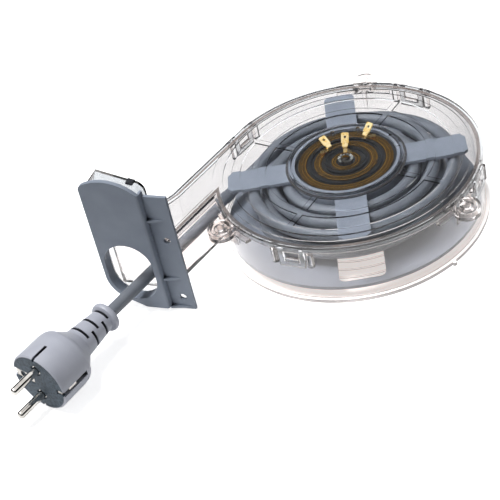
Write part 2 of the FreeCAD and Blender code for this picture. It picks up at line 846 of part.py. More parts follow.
def contact(base_radius, base_angle, lean_angle, lean, touch_radius, touch_angle):
    """A sprung brass contact: leaning tab, neck, blade through the carrier, arm and its tip."""
    base, across, way = contact_frame(base_radius, base_angle, lean_angle, lean)
    knee = base + UP * (carrier_top + 0.6)
    neck = strip(knee, way, across, neck_width, neck_length + 0.5, tab_thickness)
    start = knee + way * neck_length
    tab = strip(start, way, across, tab_width, tab_length, tab_thickness)
    normal = way.cross(across)
    for side in (-1, 1):
        corner = start + way * tab_length + across * (side * tab_width / 2)
        chamfer = [corner, corner - way * tab_bevel, corner - across * (side * tab_bevel)]
        prism_cut = Part.Face(Part.makePolygon(chamfer + chamfer[:1])).extrude(normal * 4)
        prism_cut.translate(normal * -2)
        tab = tab.cut(prism_cut)
    eye = start + way * (tab_length * 0.58) - normal * 2
    tab = tab.cut(Part.makeCylinder(tab_eye_radius, 4, eye, normal))
    arm_z = carrier_under - 0.55
    blade = strip(base + UP * (arm_z - 0.2), UP, across, blade_width, knee.z - arm_z + 0.4, tab_thickness)
    touch = polar(touch_radius, touch_angle)
    reach = touch - base
    length = reach.Length
    reach.normalize()
    side = UP.cross(reach)
    arm = strip(base - reach * 0.8 + UP * arm_z, reach, side, 2.4, length + 1.8, 0.4)
    tip = cylinder(1.0, ring_top + contact_touch, arm_z, touch)
    solid = joined([blade, neck, tab, arm, tip])
    for side in (-1, 1):
        low = start - way * (2 * tab_crease)
        crease = strip(low, way, across, tab_width, 2 * tab_crease, tab_thickness)
        crease.translate(normal * (side * (tab_thickness - tab_crease)))
        solid = solid.cut(crease)
    return solid


def contact_carrier():
    """The shallow clear cap over the hub's rim that holds the contacts and the axle's top."""
    disc = cylinder(carrier_outer, carrier_under, carrier_top)
    wall = ring(carrier_outer, carrier_inner, cover_under, carrier_top)
    lip = ring(cover_hole_radius + carrier_lip_width, carrier_inner, cover_top, housing_height)
    boss = cylinder(axle_radius + 1.6, partition_top + 0.8, carrier_top)
    pieces = [disc, wall, lip, boss]
    for inner, outer in carrier_rings:
        pieces.append(ring(outer, inner, carrier_top - 0.1, carrier_top + carrier_ring_rise))
    for post_radius, degrees in carrier_posts:
        top = carrier_top + carrier_post_height
        pieces.append(cylinder(carrier_post_radius, carrier_top - 0.1, top, polar(post_radius, degrees)))
    solid = joined(pieces)
    solid = solid.cut(cylinder(axle_radius, 0, hub_top))
    solid = solid.cut(cylinder(2.2, hub_top - 0.1, through_top))
    low, high = carrier_slot_angles
    slot = Part.makeCylinder(carrier_slot[1], 4.0, V(0, 0, carrier_under - 1), UP, high - low)
    slot = turned(slot, low).cut(cylinder(carrier_slot[0], 0, through_top))
    solid = solid.cut(slot)
    for name, base_radius, base_angle, lean_angle, lean, touch_radius, touch_angle in contacts:
        base, across, way = contact_frame(base_radius, base_angle, lean_angle, lean)
        opening = strip(base + UP * (carrier_under - 1), UP, across, blade_width, 4.5, tab_thickness)
        solid = solid.cut(opening)
    return solid


def winding_radius(t):
    """How far from the axis the centre line lies after t turns."""
    start_radius = hub_radius + turn_gap + cord_diameter / 2
    slow = winding_slow_pitch * winding_slow_turns
    pitch = (cord_exit_radius - start_radius - slow) / (winding_turns - winding_slow_turns)
    later = max(t - winding_slow_turns, 0.0)
    return start_radius + winding_slow_pitch * min(t, winding_slow_turns) + pitch * later


def winding_point(t):
    """The winding's centre line after t turns: out across the top, then down the outside."""
    top_z = spoke_under - winding_head_gap - cord_diameter / 2
    radius = winding_radius(t)
    fall = min(max((t - winding_drop_start) / (winding_turns - winding_drop_start), 0.0), 1.0)
    z = top_z + (cord_height - top_z) * fall * fall * (3 - 2 * fall)
    return polar(radius, exit_angle + 360.0 * (t - winding_turns), z)


def winding_tangent(t):
    """The centre line's direction, level and square to the radius at both ends."""
    if t in (0.0, winding_turns):
        return polar(1.0, exit_angle + 90.0 + 360.0 * (t - winding_turns))
    step = 0.02
    way = winding_point(t + step) - winding_point(t - step)
    way.normalize()
    return way


def arc_from(a, tangent, b):
    """The arc that leaves a along a tangent and ends at b."""
    chord = b - a
    half = chord.Length / 2
    along_chord = chord * (1.0 / chord.Length)
    cosine = tangent.dot(along_chord)
    side = tangent - along_chord * cosine
    side.normalize()
    angle = math.acos(min(1.0, cosine))
    middle = (a + b) * 0.5 + side * (half * math.tan(angle / 2))
    return arc(a, middle, b)


def biarc(p0, t0, p1, t1):
    """Two arcs that join two points along their tangents."""
    chord = p1 - p0
    both = t0 + t1
    dot = 1.0 - t0.dot(t1)
    if dot < 1e-9:
        return [Part.makeLine(p0, p1)]
    b = chord.dot(both)
    reach = (-b + math.sqrt(b * b + 2 * dot * chord.dot(chord))) / (2 * dot)
    middle = (p0 + p1 + (t0 - t1) * reach) * 0.5
    second = arc_from(p1, t1 * -1.0, middle)
    return [arc_from(p0, t0, middle), second]


def tube(edges, start, way):
    """A round cord along a chain of edges."""
    spine = Part.Wire(Part.__sortEdges__(edges))
    profile = Part.Wire([Part.Circle(start, way, cord_diameter / 2).toShape()])
    return spine.makePipeShell([profile], True, False)


def winding_nodes():
    """The turn counts at which the biarcs join, a quarter turn apart."""
    quarters = int(winding_turns * 4)
    return [k / 4.0 for k in range(quarters + 1)] + [winding_turns]


def cord_winding():
    """The outer layer of the cord on the drum, as one unbroken tube."""
    t0 = winding_tangent(0.0)
    t1 = winding_tangent(winding_turns)
    first = winding_point(0.0)
    last = winding_point(winding_turns)
    edges = [Part.makeLine(first - t0 * cord_diameter, first)]
    stops = winding_nodes()
    for a, b in zip(stops, stops[1:]):
        edges += biarc(winding_point(a), winding_tangent(a), winding_point(b), winding_tangent(b))
    edges.append(Part.makeLine(last, last + t1 * cord_diameter))
    return tube(edges, first - t0 * cord_diameter, t0)


def winding_gap():
    """The least distance between two turns of the winding, less the cord's diameter."""
    count = 900
    tail = [winding_point(0.0) - winding_tangent(0.0) * (cord_diameter * k / 8) for k in range(8, 0, -1)]
    points = tail + [winding_point(winding_turns * k / count) for k in range(count + 1)]
    last = points[-1]
    points += [last + winding_tangent(winding_turns) * (cord_diameter * k / 8) for k in range(1, 9)]
    apart = int(count / winding_turns * 0.6)
    least = 1e9
    for i in range(0, len(points), 2):
        for j in range(i + apart, len(points), 2):
            least = min(least, (points[i] - points[j]).Length)
    return least - cord_diameter


def winding_core():
    """The inner layers of the cord, as a plain ring with a sloped shoulder and a drawn-in foot."""
    top = spoke_under - winding_head_gap - cord_diameter - core_top_gap
    radius = cord_exit_radius - cord_diameter / 2 - core_gap
    waist = cord_height - cord_diameter / 2
    inner = hub_radius + 0.2
    foot = radius - core_waist
    profile = [V(inner, 0, flange_top), V(foot, 0, flange_top), V(foot, 0, waist), V(radius, 0, waist)]
    profile += [V(radius, 0, top - core_shoulder_drop), V(radius - core_shoulder, 0, top), V(inner, 0, top)]
    return Part.Face(Part.makePolygon(profile + profile[:1])).revolve(V(0, 0, 0), UP, 360)


def cord_clamp():
    """The block on the hub's wall that grips the cord's inner end."""
    start = winding_point(0.0)
    t0 = winding_tangent(0.0)
    x = start.x
    y = -t0.y * cord_diameter
    low = start.z - cord_diameter / 2 - 0.1
    high = spoke_under
    outer = winding_radius(0.92) - cord_diameter / 2 - 0.3
    shape = block(x - cord_diameter / 2 - 0.6, x + 10, y, y + cord_clamp_length, low, high)
    return shape.common(ring(outer, hub_radius, 0, housing_height))


def duct_cord():
    """The cord in the duct, straight from the drum's tangent to the duct's end."""
    start = along(cord_diameter, cord_exit_radius, cord_height)
    length = cord_run_at(-mouth_depth) - free_cord_inset - cord_diameter
    return Part.makeCylinder(cord_diameter / 2, length, start, RUN)


def free_cord():
    """The taut length of cord from the duct's end, through the hole, to the strain relief."""
    start = along(cord_run_at(-mouth_depth) - free_cord_inset, cord_exit_radius, cord_height)
    print(f"free cord: straight run of {free_cord_length:.1f} mm, no bend")
    return Part.makeCylinder(cord_diameter / 2, free_cord_length, start, RUN)


# The plug is drawn along +X from the end of the cord, then rolled, turned and moved there
PLUG_O = along(cord_run_at(-mouth_depth) - free_cord_inset + free_cord_length, cord_exit_radius, cord_height)
plug_end = relief_length + plug_length


def to_plug(shape):
    """Moves a shape drawn along +X onto the plug's place."""
    copy = turned(shape, plug_roll, axis=V(1, 0, 0))
    copy = turned(copy, plug_heading)
    copy.translate(PLUG_O)
    return copy


def revolved(profile):
    """A solid turned about the X axis, from pairs of distance and radius."""
    points = [V(profile[0][0], 0, 0)] + [V(a, 0, r) for a, r in profile] + [V(profile[-1][0], 0, 0)]
    face = Part.Face(Part.makePolygon(points + points[:1]))
    return face.revolve(V(0, 0, 0), V(1, 0, 0), 360)


def rod(radius, a0, a1, y=0.0, z=0.0):
    """A cylinder along +X between two distances."""
    return Part.makeCylinder(radius, a1 - a0, V(a0, y, z), V(1, 0, 0))


def relief_sector(a, degrees):
    """One slot in the cord guard: part of a ring, centred on an angle about the axis."""
    sector = Part.makeCylinder(relief_large_radius + 2, relief_slot, V(0, 0, 0), UP, relief_slot_span)
    sector = turned(sector, -relief_slot_span / 2)
    sector = turned(sector, 90, axis=V(0, 1, 0))
    sector = turned(sector, degrees, axis=V(1, 0, 0))
    sector.translate(V(a, 0, 0))
    return sector.cut(rod(relief_core_radius, a - 1, a + relief_slot + 1))


def strain_relief():
    """The tapered cord guard: an end collar, then rings joined by two staggered spines."""
    c = relief_collar_length
    high = relief_collar_radius
    r = relief_collar_round
    near, far = r * (1 - math.sqrt(0.5)), r
    profile = [(0, high - far), (near, high - near), (far, high), (c - far, high)]
    profile += [(c - near, high - near), (c, high - far), (c + 0.2, relief_small_radius)]
    solid = revolved(profile + [(relief_length, relief_large_radius)])
    for k in range(relief_slot_count):
        a = c + 0.3 + relief_slot_pitch * k
        turn = 90 if k % 2 else 0
        for side in (0, 180):
            solid = solid.cut(relief_sector(a, turn + side))
    return to_plug(solid)


def side_cut(width, depth, length, degrees):
    """A groove that runs back from the plug's end, at an angle about its axis."""
    half = width / 2
    groove = block(plug_end - length, plug_end + 1, -half, half, plug_radius - depth, plug_radius + 3)
    return turned(groove, degrees, axis=V(1, 0, 0))


def plug_grooves():
    """The guide grooves above and below, and the two earth slots at the sides."""
    cuts = [side_cut(guide_width, guide_depth, guide_length, side) for side in (0, 180)]
    cuts.append(side_cut(earth_slot_width, earth_slot_depth, earth_slot_length, 90))
    cuts.append(side_cut(far_slot_width, earth_slot_depth, earth_slot_length, 270))
    return cuts


def plug_body():
    """The moulded plug: a cone, a rounded shoulder, a barrel with guide grooves and earth slots."""
    barrel = plug_end - plug_barrel
    profile = [(relief_length, plug_neck_radius)]
    profile += [(barrel - plug_shoulder, plug_radius - plug_shoulder * 1.05)]
    profile += [(barrel - plug_shoulder * 0.45, plug_radius - plug_shoulder * 0.42)]
    profile += [(barrel, plug_radius - 0.7), (barrel + plug_shoulder, plug_radius - 0.2)]
    profile += [(plug_end - 1.0, plug_radius), (plug_end, plug_radius - 0.6)]
    solid = revolved(profile)
    solid = solid.cut(rod(plug_insert_radius + 0.05, plug_end - plug_insert_depth, plug_end + 1))
    for cut in plug_grooves():
        solid = solid.cut(cut)
    return to_plug(solid)


def plug_face():
    """The dark insert in the plug's end, cut for grooves, pins and the earth plate."""
    low = plug_end - plug_insert_depth
    solid = rod(plug_insert_radius, low, plug_end)
    for cut in plug_grooves():
        solid = solid.cut(cut)
    seat = plug_end - pin_seat_depth
    for side in (-1, 1):
        z = side * pin_spacing / 2
        solid = solid.cut(rod(pin_foot_radius, low - 1, plug_end + 1, 0, z))
        solid = solid.cut(rod(pin_seat_radius, seat, plug_end + 1, 0, z))
    half = earth_plate_width / 2
    tray = block(plug_end - 1.4, plug_end + 1, -plug_radius, -earth_plate_reach, -half, half)
    far_half = far_slot_width / 2
    far_start = plug_radius - earth_slot_depth - far_tab_reach - 0.3
    far_tray = block(plug_end - 1.4, plug_end + 1, far_start, plug_radius, -far_half, far_half)
    return to_plug(solid.cut(tray).cut(far_tray))


def plug_pins():
    """The two round pins, one above the other as the plug lies."""
    low = plug_end - plug_insert_depth
    solids = []
    for side in (-1, 1):
        z = side * pin_spacing / 2
        seat = plug_end - pin_seat_depth
        foot = rod(pin_foot_radius, low, seat, 0, z)
        pin = joined([foot, rod(pin_radius, low, plug_end + pin_length, 0, z)])
        tip = [e for e in pin.Edges if abs(e.CenterOfMass.x - plug_end - pin_length) < 0.01]
        solids.append(to_plug(pin.makeFillet(1.6, tip)))
    return Part.makeCompound(solids)


def earth_clips():
    """The two earth strips in the side slots, with tabs that fold over the plug's face."""
    seat = plug_radius - earth_slot_depth
    sheet = earth_strip_sheet
    level = plug_end - 1.4
    solids = []
    near_reach = seat - earth_plate_reach - 0.3
    strips = ((-1, earth_strip_width, near_reach), (1, far_strip_width, far_tab_reach))
    for side, width, reach in strips:
        half = width / 2
        y0, y1 = sorted((side * seat, side * (seat + sheet)))
        foot = block(plug_end - earth_slot_length + 1, plug_end - 0.6, y0, y1, -half, half)
        y0, y1 = sorted((side * (seat + 0.2), side * (seat + 2.0)))
        crown = block(plug_end - 11.0, plug_end - 5.0, y0, y1, -half, half)
        y0, y1 = sorted((side * (seat + sheet), side * (seat - reach)))
        tab = block(level, level + sheet, y0, y1, -half, half)
        if side < 0:
            tab = tab.cut(rod(earth_hole_radius, level - 1, level + 3, -earth_hole_place))
        solids.append(to_plug(joined([foot, crown, tab])))
    return Part.makeCompound(solids)


def build():
    """Makes every piece and writes it."""
    os.makedirs("parts", exist_ok=True)
    save("housing_base", housing_base())
    save("housing_cover", housing_cover())
    save("mouth_box", mouth_box())
    save("exit_plate", exit_plate())
    save("exit_sleeve", exit_sleeve())
    save("plate_clip", plate_clip())
    save("axle", axle())
    save("spring_arbor", spring_arbor())
    save("rewind_spring", rewind_spring())
    save("latch_ring", latch_ring())
    save("drum_flange", drum_flange())
    save("drum_hub", drum_hub())
    save("lower_bush", bush(boss_top + 0.1, flange_top + bush_wall, flange_under - boss_top - 0.1))
    save("upper_bush", bush(partition_under, partition_top, 0.0))
    save("slip_ring_carrier", slip_ring_carrier())
    for name, inner, outer in rings:
        save(f"slip_ring_{name}", slip_ring(inner, outer))
    save("ring_leads", ring_leads())
    save("latch_pawl", latch_pawl())
    save("pawl_pin", pawl_pin())
    save("pawl_spring", pawl_spring())
    save("contact_carrier", contact_carrier())
    for name, *place in contacts:
        save(f"contact_{name}", contact(*place))
    save("cord_winding", cord_winding())
    save("winding_core", winding_core())
    save("cord_clamp", cord_clamp())
    save("duct_cord", duct_cord())
    save("free_cord", free_cord())
    save("strain_relief", strain_relief())
    save("plug_body", plug_body())
    save("plug_face", plug_face())
    save("plug_pins", plug_pins())
    save("earth_clips", earth_clips())
    print(f"winding: least gap between turns {winding_gap():.2f} mm")


build()
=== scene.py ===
# %% [markdown]
# # A spring cord reel, dressed over its CAD frame
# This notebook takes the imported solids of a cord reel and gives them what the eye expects: clear
# moulded housing, wound cord, worn slip rings, a soft moulded plug, a camera and studio light.
# Every length is in metres, and every piece already stands where the CAD puts it.

# %% Load the frame
import math
import bpy
import numpy as np
from mathutils import Matrix, Vector


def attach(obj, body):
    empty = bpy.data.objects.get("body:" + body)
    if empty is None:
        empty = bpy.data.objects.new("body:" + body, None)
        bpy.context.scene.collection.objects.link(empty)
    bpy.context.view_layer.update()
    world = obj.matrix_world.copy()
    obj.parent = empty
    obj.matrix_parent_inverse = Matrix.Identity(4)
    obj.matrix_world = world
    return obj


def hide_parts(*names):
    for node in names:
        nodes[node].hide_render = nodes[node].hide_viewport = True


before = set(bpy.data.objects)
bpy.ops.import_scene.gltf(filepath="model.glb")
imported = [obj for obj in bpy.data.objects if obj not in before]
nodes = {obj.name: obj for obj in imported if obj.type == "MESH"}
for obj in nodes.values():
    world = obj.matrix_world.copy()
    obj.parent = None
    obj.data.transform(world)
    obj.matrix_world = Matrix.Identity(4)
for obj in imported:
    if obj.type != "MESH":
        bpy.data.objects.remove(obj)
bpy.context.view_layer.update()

# %% [markdown]
# ## The camera
# The photograph looks down on the reel from the front with a long lens, and the picture is rolled,
# so that the reel leans. A camera could be placed by hand and turned until it fits. It is better to
# write its three directions from the tilt and the roll, since the numbers can then be read.

# %% Place the camera
tilt = math.radians(38.1247)
roll = math.radians(-14.0420)
stands_at = (-0.067784, -0.767214, 0.594970)
forward = Vector((0.0, math.cos(tilt), -math.sin(tilt)))
level = Vector((1.0, 0.0, 0.0))
upright = level.cross(forward)
across = level * math.cos(roll) + upright * math.sin(roll)
up = upright * math.cos(roll) - level * math.sin(roll)
lens = bpy.data.cameras.new("reel_camera")
lens.sensor_width = 36.0
lens.lens = 115.2
lens.clip_start = 0.01
lens.clip_end = 50.0
camera = bpy.data.objects.new("reel_camera", lens)
bpy.context.scene.collection.objects.link(camera)
turn = Matrix((across, up, -forward)).transposed().to_4x4()
camera.matrix_world = Matrix.Translation(stands_at) @ turn
bpy.context.scene.camera = camera
bpy.context.scene.view_settings.view_transform = "Standard"
print("camera looks down at", round(math.degrees(tilt), 1), "degrees, roll", round(math.degrees(roll), 1))

# %% [markdown]
# ## Colours, nodes and the size of a pattern
# A colour is written as it is seen, as an sRGB hex value, and turned into light by one function.
# Nodes could be placed by hand in the shader editor. One small helper that adds a node with its
# settings and links keeps each finish below a few lines long, and every number can be read.
# A noise pattern has a scale and no size, so another helper turns the size of the real marks, in
# millimetres, into that scale: on Object coordinates one cell of noise is 1 / scale metres wide.

# %% Helpers for materials
def light_of(code):
    """sRGB hex to linear light: each channel c becomes ((c + 0.055) / 1.055) to the power 2.4."""
    parts = [int(code[k:k + 2], 16) / 255.0 for k in (1, 3, 5)]
    return tuple(((c + 0.055) / 1.055) ** 2.4 if c > 0.04045 else c / 12.92 for c in parts) + (1.0,)


def scale_for(size_mm):
    """The scale at which a noise has marks of this size: 1000 divided by the size in mm."""
    return 1000.0 / size_mm


def add(tree, kind, inputs=None, stops=(), **settings):
    """Adds a node. An input (node, output name) is linked, all else is a value. Stops fill a ramp."""
    node = tree.nodes.new("ShaderNode" + kind)
    for key, value in settings.items():
        setattr(node, key, value)
    for key, value in (inputs or {}).items():
        if isinstance(value, tuple) and len(value) == 2 and isinstance(value[0], bpy.types.Node):
            tree.links.new(value[0].outputs[value[1]], node.inputs[key])
        else:
            node.inputs[key].default_value = value
    for k, (place, code) in enumerate(stops):
        if k >= len(node.color_ramp.elements):
            node.color_ramp.elements.new(place)
        node.color_ramp.elements[k].position = place
        node.color_ramp.elements[k].color = light_of(code)
    return node


def empty_material(name):
    """A material whose tree holds its output node alone: (material, tree, output)."""
    material = bpy.data.materials.new(name)
    material.use_nodes = True
    material.node_tree.nodes.clear()
    return material, material.node_tree, add(material.node_tree, "OutputMaterial")


print("a mark of 2 mm has the noise scale", scale_for(2.0))

# %% [markdown]
# ## The white sheet
# The reel lies on a sheet of white paper that shows no edge. A white background could be made
# with more light, but that would burn out the grey parts. The sheet is instead plain white only
# where the camera looks at it, straight, in a mirror or through the clear plastic, and it keeps
# the reel's shadow there. The light that it throws back on the reel is that of a round white card
# of 28 cm on a dark table. The dark table keeps stray light off the grey parts, just as black
# cards do in a real product photograph.

# %% The sheet
def white_when_seen(tree):
    """1 for a ray that has met only gloss and clear plastic since the camera, 0 past a matt face."""
    ray = add(tree, "LightPath")
    camera_ray, bent, glossy = ((ray, f"Is {kind} Ray") for kind in ("Camera", "Transmission", "Glossy"))
    straight = add(tree, "Math", {0: camera_ray, 1: bent}, operation="MAXIMUM")
    seen = add(tree, "Math", {0: (straight, "Value"), 1: glossy}, operation="MAXIMUM")
    before_matt = add(tree, "Math", {0: (ray, "Diffuse Depth"), 1: 0.5}, operation="LESS_THAN")
    return ray, add(tree, "Math", {0: (seen, "Value"), 1: (before_matt, "Value")}, operation="MULTIPLY")


sheet_material, tree, out = empty_material("white_paper_sheet")
ray, looked_at = white_when_seen(tree)
paper = add(tree, "BsdfDiffuse", {"Color": light_of("#F4F4F4")})
# a refracted ray counts as glossy too, so a mirrored one is glossy and not refracted; in mirrors the
# sheet is half as bright, so that the plug's pins keep their dark lower edge
glossy, bent = (ray, "Is Glossy Ray"), (ray, "Is Transmission Ray")
mirror = add(tree, "Math", {0: glossy, 1: bent}, operation="GREATER_THAN")
glow_level = add(tree, "MapRange", {"Value": (mirror, "Value"), "To Min": 0.82, "To Max": 0.35})
glow = add(tree, "Emission", {"Color": light_of("#FFFFFF"), "Strength": (glow_level, "Result")})
bright = add(tree, "AddShader", {0: (paper, "BSDF"), 1: (glow, "Emission")})
where = add(tree, "TexCoord")
# the card's middle is (-0.10, -0.04), between reel and plug, and it fades out from 14 to 26 cm
centred = add(tree, "Mapping", {"Vector": (where, "Object"), "Location": (0.10, 0.04, 0.0)})
away = add(tree, "VectorMath", {0: (centred, "Vector")}, operation="LENGTH")
round_card = add(tree, "ValToRGB", {"Fac": (away, "Value")}, stops=[(0.14, "#F4F4F4"), (0.26, "#3A3C40")])
table = add(tree, "BsdfDiffuse", {"Color": (round_card, "Color")})
pick = add(tree, "MixShader", {0: (looked_at, "Value"), 1: (table, "BSDF"), 2: (bright, "Shader")})
tree.links.new(pick.outputs["Shader"], out.inputs["Surface"])

# %% Lay the sheet
half = 3.0
# a hair under the reel, so that sheet and reel don't share a plane
below = -0.0004
corners = [(-half, -half, 0), (half, -half, 0), (half, half, 0), (-half, half, 0)]
sheet_mesh = bpy.data.meshes.new("white_sheet")
sheet_mesh.from_pydata(corners, [], [(0, 1, 2, 3)])
sheet_mesh.materials.append(sheet_material)
white_sheet = bpy.data.objects.new("white_sheet", sheet_mesh)
bpy.context.scene.collection.objects.link(white_sheet)
white_sheet.location.z = below
print("white sheet:", 2 * half, "m square")

# %% [markdown]
# ## The room
# Clear and polished things show the room more than themselves. One grey world would leave them
# dull. So the world has three faces, each a ramp over height: a white room, for what the camera
# sees past and through the plastic; hard black and white cards, for the pins' and rings' gloss;
# and softer cards, for gloss that is met inside the plastic. What lights matt faces is a weak
# fill. A picture of a real room would do the same, but its lights can't be moved one by one.

# %% The world
world = bpy.data.worlds.new("studio")
bpy.context.scene.world = world
world.use_nodes = True
tree = world.node_tree
tree.nodes.clear()
ray, looked_at = white_when_seen(tree)
place = add(tree, "TexCoord")
split = add(tree, "SeparateXYZ", {0: (place, "Generated")})
# each stop: height in the room from 0, level and below, to 1, overhead, and the colour there
rooms = {
    "white": [(0.0, "#FFFFFF"), (0.03, "#C6C8CC"), (0.22, "#D2D4D8"), (0.5, "#FFFFFF")],
    "hard": [(0.0, "#4A4C50"), (0.06, "#0C0D0F"), (0.52, "#0C0D0F"), (0.61, "#1C1E21"), (0.67, "#FFFFFF"),
             (1.0, "#FFFFFF")],
    "soft": [(0.0, "#E4E6E9"), (0.08, "#8C8F94"), (0.2, "#54575C"), (0.5, "#5A5D62"), (0.62, "#8C8F94"),
             (0.8, "#FFFFFF")],
}
room = {}
for name, stops in rooms.items():
    colour = add(tree, "ValToRGB", {"Fac": (split, "Z")}, stops=stops)
    room[name] = (add(tree, "Background", {"Color": (colour, "Color"), "Strength": 1.0}), "Background")
fill = add(tree, "Background", {"Color": light_of("#E8ECF2"), "Strength": 0.10})
reflected = add(tree, "Math", {0: (ray, "Glossy Depth"), 1: 0.5}, operation="GREATER_THAN")
gloss = add(tree, "MixShader", {0: (ray, "Is Transmission Ray"), 1: room["hard"], 2: room["soft"]})
shown = add(tree, "MixShader", {0: (reflected, "Value"), 1: room["white"], 2: (gloss, "Shader")})
whole = add(tree, "MixShader", {0: (looked_at, "Value"), 1: (fill, "Background"), 2: (shown, "Shader")})
add(tree, "OutputWorld", {"Surface": (whole, "Shader")})
print("rooms:", list(rooms))

# %% [markdown]
# ## The lamps
# A big softbox overhead, to the left, gives the soft shadow under the reel, and a weak one at the
# left front lifts the plug. A sun lamp would be simpler, but its shadows are hard. The big one
# stands so far left that its mirror image in the duct's flat roof isn't seen from straight above.
# Both are weak enough for a colour to show about as it is written.

# %% Two softboxes
def soft_lamp(name, place, target, size, power):
    """A rectangular area lamp at a place, which looks at a target."""
    lamp = bpy.data.lights.new(name, "AREA")
    lamp.shape = "RECTANGLE"
    lamp.size, lamp.size_y = size
    lamp.energy = power
    holder = bpy.data.objects.new(name, lamp)
    bpy.context.scene.collection.objects.link(holder)
    way = Vector(target) - Vector(place)
    holder.matrix_world = Matrix.Translation(place) @ way.to_track_quat("-Z", "Y").to_matrix().to_4x4()


soft_lamp("top_softbox", (-0.46, -0.02, 1.27), (-0.07, -0.03, 0.0), (0.5, 0.45), 15.3)
soft_lamp("left_softbox", (-0.9, -0.6, 0.5), (-0.08, -0.05, 0.03), (0.4, 0.3), 0.5)

# %% [markdown]
# ## Clear polycarbonate
# Pot, lid, mouth box and contact carrier are injection moulded from clear polycarbonate in a
# polished mould. It could be faked with an alpha of a third, but then it has no dark edges. Real
# refraction, with the plastic's own IOR of 1.585, gives the thin dark lines along each rib and
# rim and the bright rolls of light inside them. The lid is the greyer of the two, since the eye
# looks through its two faces and all its ribs. A trace of milky haze is what the mould leaves.

# %% The clear finish
polycarbonate_ior = 1.585


def clear_plastic(name, tint, shade, haze, marks_mm=26.0):
    """Refracting plastic with faint flow marks and a little haze. Lamp light passes it, dimmed."""
    material, tree, out = empty_material(name)
    where = add(tree, "TexCoord")
    # flow marks: the melt leaves waves of a few centimetres, which bend the things behind a little
    flow = add(tree, "TexNoise", {"Vector": (where, "Object"), "Scale": scale_for(marks_mm), "Detail": 1.0})
    bump = add(tree, "Bump", {"Height": (flow, "Fac"), "Strength": 0.05, "Distance": 0.001})
    glass = add(tree, "BsdfPrincipled", {
        "Base Color": light_of(tint), "Roughness": 0.02, "IOR": polycarbonate_ior,
        "Transmission Weight": 1.0, "Normal": (bump, "Normal")})
    # a ray that has been thrown about inside a rim is let out straight, so that the rim isn't black; so
    # is a third of those at the underside, which rests on the sheet and hardly mirrors the inside
    ray = add(tree, "LightPath")
    trapped = add(tree, "Math", {0: (ray, "Ray Depth"), 1: 5.5}, operation="GREATER_THAN")
    height = add(tree, "SeparateXYZ", {0: (where, "Object")})
    resting = add(tree, "Math", {0: (height, "Z"), 1: 0.0002}, operation="LESS_THAN")
    share = add(tree, "Math", {0: (resting, "Value"), 1: 0.3}, operation="MULTIPLY")
    free_way = add(tree, "Math", {0: (trapped, "Value"), 1: (share, "Value")}, operation="MAXIMUM")
    let_out = add(tree, "BsdfTransparent", {"Color": light_of("#E6E2E0")})
    plastic = add(tree, "MixShader", {0: (free_way, "Value"), 1: (glass, "BSDF"), 2: (let_out, "BSDF")})
    milk = add(tree, "BsdfDiffuse", {"Color": light_of("#FBF8F6")})
    hazy = add(tree, "MixShader", {0: haze, 1: (plastic, "Shader"), 2: (milk, "BSDF")})
    dimmed = add(tree, "BsdfTransparent", {"Color": light_of(shade)})
    whole = add(tree, "MixShader", {0: (ray, "Is Shadow Ray"), 1: (hazy, "Shader"), 2: (dimmed, "BSDF")})
    tree.links.new(whole.outputs["Shader"], out.inputs["Surface"])
    return material


clear_pot = clear_plastic("polycarbonate_injection_moulded_pot", "#FBF6F4", "#F8F8F8", 0.012)
clear_lid = clear_plastic("polycarbonate_injection_moulded_lid", "#E0E2E4", "#E8E9EA", 0.004)
print("clear finishes:", clear_pot.name, clear_lid.name)

# %% [markdown]
# ## Moulded greys and rubbery cords
# The drum and the exit plate are moulded ABS, the cord and the plug soft PVC. A flat grey would
# look like card. Moulded plastic has two tones close together where the pigment lies uneven, and a
# fine grain from the spark-eroded mould that breaks up its highlight. Shade is painted into its
# grooves: ambient occlusion within a few millimetres darkens the base colour there.

# %% Plastics
abs_and_pvc_ior = 1.5


def moulded(name, dark, pale, roughness, grain_mm, grain, patch_mm=16.0, reach_mm=4.0):
    """Two close tones in soft patches, a fine grain as bump, and painted shade in the grooves within the
    reach.
    """
    material, tree, out = empty_material(name)
    where = add(tree, "TexCoord")
    patch = add(tree, "TexNoise", {"Vector": (where, "Object"), "Scale": scale_for(patch_mm), "Detail": 3.0})
    tone = add(tree, "ValToRGB", {"Fac": (patch, "Fac")}, stops=[(0.35, dark), (0.65, pale)])
    # painted shade: ambient occlusion within the reach darkens the colour in grooves and where parts touch
    occlusion_for_painted_shade = add(tree, "AmbientOcclusion", {"Distance": reach_mm / 1000.0}, samples=8, only_local=True)
    painted_groove_shade = add(tree, "ValToRGB", {"Fac": (occlusion_for_painted_shade, "AO")}, stops=[(0.28, "#2A2C30"), (0.62, "#FFFFFF")])
    # for colours the Mix node has its factor at 0, its two colours at 6 and 7 and its result at 2
    colour = add(tree, "Mix", {0: 1.0, 6: (tone, "Color"), 7: (painted_groove_shade, "Color")}, data_type="RGBA",
                 blend_type="MULTIPLY")
    fine = add(tree, "TexNoise", {"Vector": (where, "Object"), "Scale": scale_for(grain_mm), "Detail": 2.0})
    bump = add(tree, "Bump", {"Height": (fine, "Fac"), "Strength": grain, "Distance": 0.0002})
    rough = add(tree, "MapRange", {
        "Value": (patch, "Fac"), "To Min": roughness - 0.04, "To Max": roughness + 0.05})
    shine = add(tree, "BsdfPrincipled", {
        "Base Color": (colour, 2), "Roughness": (rough, "Result"), "Normal": (bump, "Normal"),
        "IOR": abs_and_pvc_ior})
    tree.links.new(shine.outputs["BSDF"], out.inputs["Surface"])
    return material


# ABS from a spark-eroded mould: an even satin grey with no clear highlight. The real grain is about
# 0.1 mm, too fine to show here, so it is drawn at 0.55 mm
plate_abs = moulded("abs_spark_eroded_slate_grey", "#8F98A7", "#99A2B0", 0.5, 0.55, 0.35)
drum_abs = moulded("abs_spark_eroded_blue_grey", "#949AA6", "#9DA3AF", 0.44, 0.55, 0.3)
